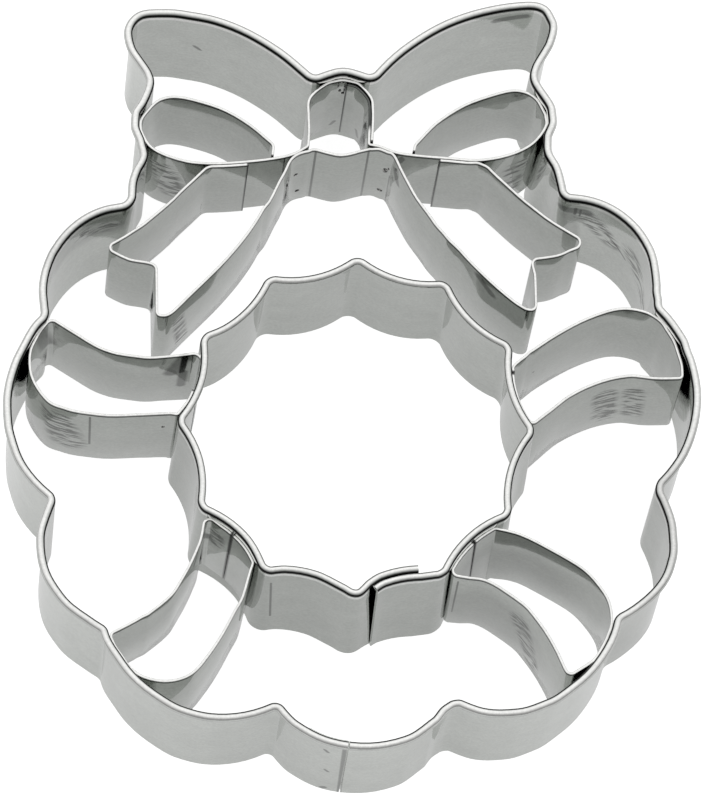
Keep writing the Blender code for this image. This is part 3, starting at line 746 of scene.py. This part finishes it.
# how far each band stands to the left of its even line near a plan point
BAND_DEPARTURES = {
    "left_upper_band": [
        (-19.2, 4.5, 0.0), (-20.1, 2.0, -0.2), (-21.2, 1.9, -0.38), (-29.4, 1.9, -0.33), (-33.0, 2.7, -0.24),
        (-34.9, 4.0, 0.1), (-36.7, 7.0, 0.0), (-37.1, 9.2, -0.12), (-33.3, 12.9, 0.24), (-30.4, 10.9, 0.24),
        (-27.2, 9.4, 0.15), (-24.8, 8.9, 0.27), (-20.2, 8.8, 0.34), (-17.6, 8.1, 0.36),
    ],
    "right_upper_band": [
        (18.2, 6.8, -0.1), (19.7, 8.3, 0.06), (20.6, 8.8, 0.21), (23.8, 10.7, 0.38), (26.9, 12.4, 0.35),
        (30.3, 13.5, 0.46), (33.6, 13.3, 0.3), (36.5, 11.0, 0.0), (38.1, 7.2, -0.26), (35.2, 5.3, -0.21),
        (31.7, 5.7, -0.21), (28.3, 4.9, -0.3), (25.0, 3.4, -0.29), (22.0, 1.5, 0.0), (19.0, 1.0, 0.0),
    ],
    "left_lower_band": [
        (-15.5, -11.5, 0.0), (-17.2, -10.9, -0.2), (-18.4, -14.0, -0.11), (-20.1, -17.2, 0.0), (-21.6, -19.2, 0.2),
        (-24.1, -21.6, 0.0), (-25.1, -22.3, -0.17), (-28.2, -23.8, -0.1), (-28.4, -24.7, 0.0), (-20.4, -29.3, 0.05),
        (-14.8, -21.9, 0.0), (-13.8, -19.7, -0.2), (-12.5, -16.4, 0.0),
    ],
    "right_lower_band": [
        (14.1, -13.0, 0.0), (16.9, -12.6, 0.06), (23.2, -15.8, 0.06), (25.9, -18.0, 0.18), (27.8, -20.8, 0.12),
        (28.1, -24.3, 0.0), (24.0, -29.5, -0.04), (22.7, -28.5, 0.17), (21.3, -25.2, 0.17), (19.4, -22.0, 0.32),
        (17.8, -20.3, 0.42), (15.5, -18.6, 0.35), (12.7, -17.8, 0.3), (10.5, -17.4, 0.0),
    ],
}
STRIP_SCUFFS = [
    ((-34.2, 3.2, 15.0), (-32.6, 2.6, 8.0), 2.8), ((29.2, 5.4, 13.5), (29.8, 5.4, 5.5), 1.9),
    ((32.6, 5.4, 13.5), (32.9, 5.4, 6.0), 1.6), ((18.6, -21.4, 13.0), (20.2, -23.6, 5.0), 2.0),
    ((-21.0, 33.4, 14.5), (-19.6, 33.0, 8.0), 2.2), ((20.2, 33.6, 14.0), (19.6, 33.4, 6.5), 2.0),
    ((-16.2, -11.5, 15.5), (-16.4, -11.9, 12.5), 1.4), ((-19.6, 15.0, 14.0), (-18.8, 15.6, 6.0), 1.3),
]
STRIP_SCORES = [
    ((-30.2, 2.2, 17.6), (-30.0, 2.18, 8.2), 0.17), ((-3.35, 33.83, 18.3), (-3.33, 33.83, 3.2), 0.17),
    ((2.76, 33.8, 18.3), (2.73, 33.8, 3.2), 0.17), ((5.52, 33.04, 12.0), (5.51, 33.06, 3.2), 0.14),
    ((11.14, -17.95, 17.0), (11.15, -18.05, 6.0), 0.14), ((-0.23, 42.36, 5.5), (-0.62, 42.3, 4.6), 0.3),
    ((2.29, 40.99, 6.2), (2.5, 40.7, 4.6), 0.3),
]
# the first, third, fourth and fifth marks, on the right tail's back and in the left upper band's corners, are painted
# dark reflections; the others are stains
STRIP_STAINS_AND_DARK_REFLECTIONS = [
    ((14.7, 18.4, 17.2), (16.2, 16.9, 15.6), 1.0), ((6.0, 32.2, 15.8), (6.4, 31.6, 14.0), 0.8),
    ((-35.6, 12.3, 17.6), (-34.6, 12.9, 11.5), 1.3), ((-19.3, 9.2, 17.6), (-20.6, 9.2, 13.0), 1.2),
    ((-19.2, 9.2, 13.0), (-19.3, 9.2, 8.5), 0.7), ((-18.6, -11.0, 15.0), (-17.0, -10.7, 13.0), 0.8),
]
# a soft grey patch of painted shade on the right lower band
STRIP_SHADE_PATCHES = [((15.5, -16.6, 9.0), (18.5, -18.2, 9.0), 9.0)]
# Sheared strip: a painted highlight along its cut upper edge, over a painted dark line of shade, and the mill finish
# below is duller.
BOTH_FACES = 99.0
# the painted shadow at the strips' cut ends darkens them to this share
END_SHADOW_SHADE = 0.12
STRIP_STEEL = steel("mill_rolled_stainless_steel", "height", 17.6, 18.6, [
    (17.6, "#C9CCC8"), (18.05, "#C9CCC8"), (18.2, "#626462"), (18.5, "#4E504E"), (18.57, "#F4F4F2"),
], (0.04, 0.1), END_SHADOW_SHADE, BOTH_FACES, STRIP_SCUFFS, STRIP_SCORES, STRIP_STAINS_AND_DARK_REFLECTIONS, STRIP_SHADE_PATCHES)
bands = {}
for name, rows, height in (
    ("left_upper_band", LEFT_UPPER, STRIP_HEIGHT_LEFT),
    ("right_upper_band", RIGHT_UPPER, STRIP_HEIGHT_RIGHT),
    ("left_lower_band", LEFT_LOWER, STRIP_HEIGHT_LEFT),
    ("right_lower_band", RIGHT_LOWER, STRIP_HEIGHT_RIGHT),
):
    bands[name] = hand_bent(band_line(rows), BAND_DEPARTURES[name])
    band = sheet(name + "_strip", bands[name], STRIP_TOP, strip_section(SHEET, height), band_leans, STRIP_STEEL)
    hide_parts(name)

# Bow strips. Two low strips: the left one forms the left loop, climbs over the knot and ends on its right,
# and the right one lines the knot's right side and forms the right loop.

STRIP_HEIGHT_BOW = 15.4
HUG = SHEET + 0.05
LEFT_FLAP = (-8.6, 33.3)
LEFT_LOOP = [(-8.4, 34.6), (-11.7, 37.4), (-15.8, 39.5), (-19.9, 40.4), (-22.1, 39.5)]
LEFT_LOOP_REST = ((-23.9, 38.0), (-23.8, 36.6))
LEFT_LOOP_BACK = [(-22.3, 34.7), (-18.9, 32.7), (-15.5, 32.3), (-8.5, 32.8), (-6.0, 33.35), (-4.1, 34.4)]
ARCH_LEFT = [(-4.1, 34.4), (-4.0, 36.4), (-4.05, 38.2), (-3.85, 40.3)]
ARCH_REST = ((-2.2, 42.9), (2.2, 42.9))
ARCH_RIGHT = [(3.3, 40.2), (3.42, 39.0), (3.37, 37.4), (3.15, 34.9)]
LINING = ((0.5, 42.3), (3.4, 37.0))
LINING_SINK = 0.33
LINING_LOW = 4.0
LINING_RAMP = 4.0
RIGHT_KNOT_FOOT = (2.7, 34.5)
RIGHT_LOOP = [RIGHT_KNOT_FOOT, (4.0, 34.15), (6.0, 33.35), (11.7, 32.7), (15.6, 32.4), (19.4, 33.3), (22.0, 34.8)]
RIGHT_LOOP_REST = ((23.8, 36.6), (23.9, 38.0))
RIGHT_LOOP_BACK = [(22.2, 39.8), (20.0, 40.7), (15.3, 39.4), (11.1, 37.0), (8.4, 34.3)]
RIGHT_FLAP = (8.2, 33.5)


LEFT_BOW_DEPARTURES = [
    (-8.5, 34.5, -0.2), (-10.9, 36.8, -0.27), (-13.9, 38.7, -0.37), (-17.3, 40.0, -0.31), (-20.8, 40.2, -0.3),
    (-22.8, 38.8, 0.0), (-23.6, 36.6, 0.0), (-22.4, 34.8, -0.1), (-18.3, 32.5, 0.24), (-14.8, 32.3, 0.18),
    (-7.6, 32.9, 0.15), (-4.5, 34.2, 0.13), (-4.1, 38.2, 0.0), (3.4, 37.6, 0.0),
]
RIGHT_BOW_DEPARTURES = [
    (2.5, 40.9, 0.0), (3.0, 36.0, 0.0), (4.0, 34.2, 0.15), (7.1, 33.1, 0.12), (10.9, 32.8, 0.06), (14.3, 32.4, 0.06),
    (21.0, 34.1, -0.15), (23.4, 36.7, 0.0), (23.4, 38.3, 0.0), (21.4, 40.3, -0.26), (18.0, 40.4, -0.2),
    (14.5, 39.0, -0.33), (11.4, 37.2, -0.27), (8.9, 34.8, -0.26),
]


def beside(line, start, end, shift):
    """Points along the stretch of the line nearest to start and end, shifted to its left."""
    first, last = (min(range(len(line)), key=lambda i: (line[i] - flat(p)).length) for p in (start, end))
    step = 1 if last > first else -1
    stretch = list(range(first, last, step * round(FOLLOW_STEP / FINE_STEP))) + [last]
    return [line[i] + side_of(line, i) * shift for i in stretch]


def left_bow_line():
    flap = smooth_run([LEFT_FLAP, LEFT_LOOP[0]])
    loop = smooth_run([*LEFT_LOOP, *beside(outer, *LEFT_LOOP_REST, -OUTER_SEAT), *LEFT_LOOP_BACK])
    arch = smooth_run([*ARCH_LEFT, *beside(outer, *ARCH_REST, -OUTER_SEAT), *ARCH_RIGHT])
    return joined([flap, loop, arch], [FOLD, FOLD])


def right_bow_line():
    leg = smooth_run([*beside(left_bow, *LINING, -HUG), (2.85, 35.6), RIGHT_KNOT_FOOT])
    loop = smooth_run([*RIGHT_LOOP, *beside(outer, *RIGHT_LOOP_REST, -OUTER_SEAT), *RIGHT_LOOP_BACK])
    flap = smooth_run([RIGHT_LOOP_BACK[-1], RIGHT_FLAP])
    return joined([leg, loop, flap], [FOLD / 2, FOLD])


def upright(point, side, mark):
    """The strip stands upright everywhere."""
    return 0.0


def lining_sinks(mark):
    """The lining's upper edge lies a little under the arch's edge and rises towards the knot's foot."""
    return LINING_SINK * eased(mark, LINING_LOW, LINING_RAMP)


left_bow = hand_bent(left_bow_line(), LEFT_BOW_DEPARTURES)
right_bow = hand_bent(right_bow_line(), RIGHT_BOW_DEPARTURES)
for name, line, sinks in (("left_bow_strip", left_bow, None), ("right_bow_strip", right_bow, lining_sinks)):
    loop = sheet(name + "_steel", line, STRIP_TOP, strip_section(SHEET, STRIP_HEIGHT_BOW), upright, STRIP_STEEL,
                 sinks)
    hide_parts(name)

# Bow tails. One low strip makes both tails: it runs along under the left loop, out and back around the
# left tail, across the foot of the knot and around the right tail, and is spot welded to the loops.

CREASE = 0.25
LEFT_SEAM = ((-11.2, 32.6), (-15.8, 32.3))
LEFT_TAIL_SIDE = [(-18.9, 29.4), (-24.9, 24.2), (-28.0, 22.4)]
LEFT_TAIL_END = [(-28.0, 22.4), (-25.5, 21.0), (-22.4, 20.0)]
LEFT_TAIL_TIP = (-22.5, 13.9)
LEFT_TAIL_BACK = [LEFT_TAIL_TIP, (-21.0, 13.9), (-18.6, 16.1), (-13.4, 21.6), (-10.8, 25.1), (-9.0, 28.3), (-7.4, 31.2)]
LEFT_KNOT_SEAM = ((-6.0, 33.35), (-5.0, 33.9))
KNOT_FOOT = [(-3.75, 33.85), (-2.2, 33.35), (-0.6, 33.0), (1.1, 33.25), (2.85, 33.95)]
RIGHT_KNOT_SEAM = ((4.0, 34.15), (5.6, 33.5))
RIGHT_TAIL_BACK = [(6.9, 30.5), (8.9, 26.9), (11.4, 22.6), (14.8, 18.4), (17.6, 15.8), (20.0, 14.1), (21.3, 14.1)]
RIGHT_TAIL_END = [(21.2, 20.1), (24.3, 20.7), (27.1, 22.2)]
RIGHT_TAIL_SIDE = [(27.1, 22.2), (23.9, 24.4), (20.9, 26.6), (17.5, 29.9)]
RIGHT_SEAM = ((15.6, 32.4), (10.9, 32.8))


TAIL_DEPARTURES = [
    (-11.5, 32.1, 0.0), (-15.5, 31.9, 0.0), (-18.6, 29.6, 0.09), (-20.4, 28.1, 0.22), (-23.3, 25.5, 0.15),
    (-25.0, 24.1, 0.0), (-25.4, 20.9, 0.03), (-23.1, 20.2, 0.26), (-22.3, 14.1, 0.24), (-18.6, 16.1, 0.12),
    (-13.7, 21.3, -0.03), (-11.5, 24.1, -0.08), (-9.8, 26.8, -0.12), (-9.1, 28.0, -0.35), (-7.5, 31.1, -0.28),
    (-6.0, 32.9, 0.0), (-4.5, 33.9, 0.0), (-3.2, 33.7, 0.28), (1.4, 33.3, 0.28), (3.2, 34.0, 0.0), (5.4, 33.2, 0.05),
    (6.5, 31.2, -0.06), (8.2, 28.1, -0.24), (9.9, 25.0, -0.04), (11.2, 23.0, 0.21), (12.5, 21.1, 0.44),
    (14.8, 18.4, 0.44), (19.3, 14.4, 0.21), (21.2, 14.4, 0.0), (21.2, 18.1, -0.1), (21.3, 19.8, 0.12),
    (25.3, 21.2, 0.0), (26.3, 21.7, -0.15), (23.7, 24.6, -0.09), (20.8, 26.7, -0.3), (18.2, 29.2, -0.34),
    (16.3, 31.2, -0.28), (15.6, 31.9, -0.05), (13.9, 32.1, 0.0),
]


def bow_tail_line():
    left_seam = smooth_run(beside(left_bow, *LEFT_SEAM, -HUG))
    left_side = smooth_run([left_seam[-1], *LEFT_TAIL_SIDE])
    left_end = smooth_run(LEFT_TAIL_END)
    left_notch = smooth_run([LEFT_TAIL_END[-1], LEFT_TAIL_TIP])
    left_back = smooth_run([*LEFT_TAIL_BACK, *beside(left_bow, *LEFT_KNOT_SEAM, -HUG), KNOT_FOOT[0]])
    right_back = smooth_run([KNOT_FOOT[-1], *beside(right_bow, *RIGHT_KNOT_SEAM, -HUG), *RIGHT_TAIL_BACK])
    right_notch = smooth_run([RIGHT_TAIL_BACK[-1], RIGHT_TAIL_END[0]])
    right_end = smooth_run(RIGHT_TAIL_END)
    right_seam = smooth_run(beside(right_bow, *RIGHT_SEAM, -HUG))
    right_side = smooth_run([*RIGHT_TAIL_SIDE, right_seam[0]])
    runs = [left_seam, left_side, left_end, left_notch, left_back, smooth_run(KNOT_FOOT), right_back, right_notch,
            right_end, right_side, right_seam]
    return joined(runs, [SOFT_FOLD, FOLD, FOLD, FOLD, CREASE, CREASE, FOLD, FOLD, FOLD, SOFT_FOLD])


tail_line = hand_bent(bow_tail_line(), TAIL_DEPARTURES)
tails = sheet("bow_tail_steel", tail_line, STRIP_TOP, strip_section(SHEET, STRIP_HEIGHT_BOW), upright, STRIP_STEEL)
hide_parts("bow_tail_strip")

# Spot welds. The electrode has left small browned pips where strips were welded to their neighbours, and a
# burnt blotch where the current was too high. The pips stand about a twentieth of a millimetre proud.

PIP_PROUD = 0.05
PIP_ROOT = 0.02
WELDS = [
    ("bow_tail_strip", tail_line, [
        ((-5.4, 33.3), 12.06, (0.36, 0.4)), ((-4.91, 33.5), 6.18, (0.36, 0.4)), ((4.71, 33.45), 6.06, (0.36, 0.4)),
        ((4.97, 33.3), 12.9, (0.32, 0.75)), ((5.25, 33.2), 13.7, (0.2, 0.35)), ((6.14, 32.09), 16.6, (0.3, 0.5)),
    ]),
    ("left_bow_strip", left_bow, [
        ((-0.45, 42.3), 17.4, (0.12, 0.9)), ((0.0, 42.4), 18.1, (0.4, 0.2)), ((0.36, 42.37), 16.5, (0.13, 1.7)),
        ((-0.1, 42.4), 15.6, (0.2, 0.5)), ((0.22, 42.37), 14.8, (0.22, 0.45)),
    ]),
    ("right_upper_band", bands["right_upper_band"], [((21.36, 9.3), 10.12, (0.36, 0.45))]),
    ("left_upper_band", bands["left_upper_band"], [((-21.82, 2.0), 14.16, (0.25, 0.4))]),
]


def spot_weld_tree():
    """Sets a flattened pip on every point, turned to the point's facing and scaled to its size."""
    tree, given = begun_tree("spot_welds", {"Points": "Geometry", "Steel": "Material"}, "Pips")
    pip = add(tree, "GeometryNodeMeshIcoSphere", Radius=1.0, Subdivisions=2)
    facing, size = (
        add(tree, "GeometryNodeInputNamedAttribute", {"data_type": "FLOAT_VECTOR"}, Name=n) for n in ("facing", "size")
    )
    turned = add(tree, "FunctionNodeAlignRotationToVector", {"axis": "Y"}, Vector=facing.outputs[0])
    pips = add(tree, "GeometryNodeInstanceOnPoints", Points=given.outputs["Points"], Instance=pip.outputs["Mesh"],
               Rotation=turned.outputs[0], Scale=size.outputs[0])
    return ended_tree(tree, pips.outputs[0], given.outputs["Steel"])


SPOT_WELDS = spot_weld_tree()
browned, tree, shader = bare_metal("heat_browned_weld_steel")
shader.inputs["Roughness"].default_value = 0.3
place = add(tree, "ShaderNodeTexCoord").outputs["Object"]
# the burnt skin is black with bare bright specks about 0.4 mm across
burnt = add(tree, "ShaderNodeTexNoise", Vector=place, Scale=2600.0, Detail=2.0)
skin = banded(tree, burnt.outputs[0], 0.0, 1000.0, [(0.0, "#161514"), (540.0, "#22201E"), (640.0, "#E4E4E0")])
tree.links.new(skin, shader.inputs["Base Color"])
for node, line, marks in WELDS:
    spots, facings = [], []
    for (x, y), height, size in marks:
        i = min(range(len(line)), key=lambda k: (line[k] - Vector((x, y))).length)
        side = side_of(line, i)
        side = side if side.y < 0 else -side
        spot = line[i] + side * (SHEET / 2 - PIP_ROOT)
        spots.append((spot.x - CENTRE.x, spot.y - CENTRE.y, height))
        facings.append((side.x, side.y, 0.0))
    dots = wire(node + "_dots", spots)
    facing = dots.data.attributes.new("facing", "FLOAT_VECTOR", "POINT")
    size = dots.data.attributes.new("size", "FLOAT_VECTOR", "POINT")
    for k, (_, _, (wide, tall)) in enumerate(marks):
        facing.data[k].vector = facings[k]
        size.data[k].vector = (wide * MM, (PIP_PROUD + PIP_ROOT) * MM, tall * MM)
    pips = placed(node + "_welds", made(dots, SPOT_WELDS, Steel=browned))
    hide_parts(node)

# the section outlines have done their work
for pattern in [piece for piece in bpy.data.objects if piece.name.startswith(("hem_section", "strip_section"))]:
    bpy.data.objects.remove(pattern)

# Table, light and camera. A white table under a soft studio sky, bright overhead and dark low behind,
# with the camera at the photograph's angle, high in front of the cutter and slightly turned.

TABLE_HALF = 2.0
TABLE_GREY = 0.5
MIRRORED_GLOW = 0.46
SEEN_GLOW = 0.93
table_mesh = bpy.data.meshes.new("table")
table_mesh.from_pydata([(x * TABLE_HALF, y * TABLE_HALF, 0.0) for x, y in ((-1, -1), (1, -1), (1, 1), (-1, 1))],
                       [], [(0, 1, 2, 3)])
table = linked("table", table_mesh)
paint = bpy.data.materials.new("white_table_paint")
paint.use_nodes = True
tree = paint.node_tree
tree.nodes.remove(tree.nodes["Principled BSDF"])
# the camera and clear things see the table nearly white, and the steel mirrors it a little less so
ray = add(tree, "ShaderNodeLightPath")
seen = add(tree, "ShaderNodeMath", {"operation": "MULTIPLY"}, _0=ray.outputs["Is Glossy Ray"], _1=MIRRORED_GLOW)
for kind in ("Is Camera Ray", "Is Transmission Ray"):
    part = add(tree, "ShaderNodeMath", {"operation": "MULTIPLY"}, _0=ray.outputs[kind], _1=SEEN_GLOW)
    seen = add(tree, "ShaderNodeMath", {"operation": "ADD"}, _0=seen.outputs[0], _1=part.outputs[0])
matt = add(tree, "ShaderNodeBsdfDiffuse", Color=(TABLE_GREY, TABLE_GREY, TABLE_GREY, 1.0))
glow = add(tree, "ShaderNodeEmission", Strength=seen.outputs[0])
both = add(tree, "ShaderNodeAddShader", _0=matt.outputs[0], _1=glow.outputs[0])
tree.links.new(both.outputs[0], tree.nodes["Material Output"].inputs["Surface"])
table_mesh.materials.append(paint)

world = bpy.data.worlds.new("studio_sky")
bpy.context.scene.world = world
world.use_nodes = True
tree = world.node_tree
sky = tree.nodes["Background"]
sky.inputs["Color"].default_value = (1.0, 1.0, 1.0, 1.0)
direction = add(tree, "ShaderNodeTexCoord").outputs["Generated"]
# a big soft light overhead and behind, a paler room in front, and a dark gap low behind
shares = []
for lifted, dim_cosine, full_cosine, dim, full in ((50.0, 0.0, 0.95, 0.36, 1.15), (120.0, -0.4, 0.0, 0.08, 1.0)):
    axis = (0.0, math.cos(math.radians(lifted)), math.sin(math.radians(lifted)))
    facing = add(tree, "ShaderNodeVectorMath", {"operation": "DOT_PRODUCT"}, _0=direction, _1=axis)
    shares.append(add(tree, "ShaderNodeMapRange", Value=facing.outputs["Value"], _1=dim_cosine, _2=full_cosine,
                      _3=dim, _4=full).outputs[0])
light = add(tree, "ShaderNodeMath", {"operation": "MULTIPLY"}, _0=shares[0], _1=shares[1])
tree.links.new(light.outputs[0], sky.inputs["Strength"])

ELEVATION, AZIMUTH, ROLL = math.radians(71.0), math.radians(-11.7207), math.radians(10.2182)
DISTANCE = 1011.0
TARGET = Vector((0.378, -0.420, 10.0))
LENS = 448.24
back = Vector((math.sin(AZIMUTH) * math.cos(ELEVATION), -math.cos(AZIMUTH) * math.cos(ELEVATION), math.sin(ELEVATION)))
right = Vector((math.cos(AZIMUTH), math.sin(AZIMUTH), 0.0))
up = back.cross(right)
across = math.cos(ROLL) * right + math.sin(ROLL) * up
upright_axis = -math.sin(ROLL) * right + math.cos(ROLL) * up
lens = bpy.data.cameras.new("camera")
lens.sensor_fit = "HORIZONTAL"
lens.sensor_width = 36.0
lens.lens = LENS
lens.clip_start = 0.01
camera = linked("camera", lens)
turn = Matrix((across, upright_axis, back)).transposed().to_4x4()
camera.matrix_world = Matrix.Translation((TARGET + DISTANCE * back) * MM) @ turn
bpy.context.scene.camera = camera
bpy.context.scene.view_settings.view_transform = "Standard"
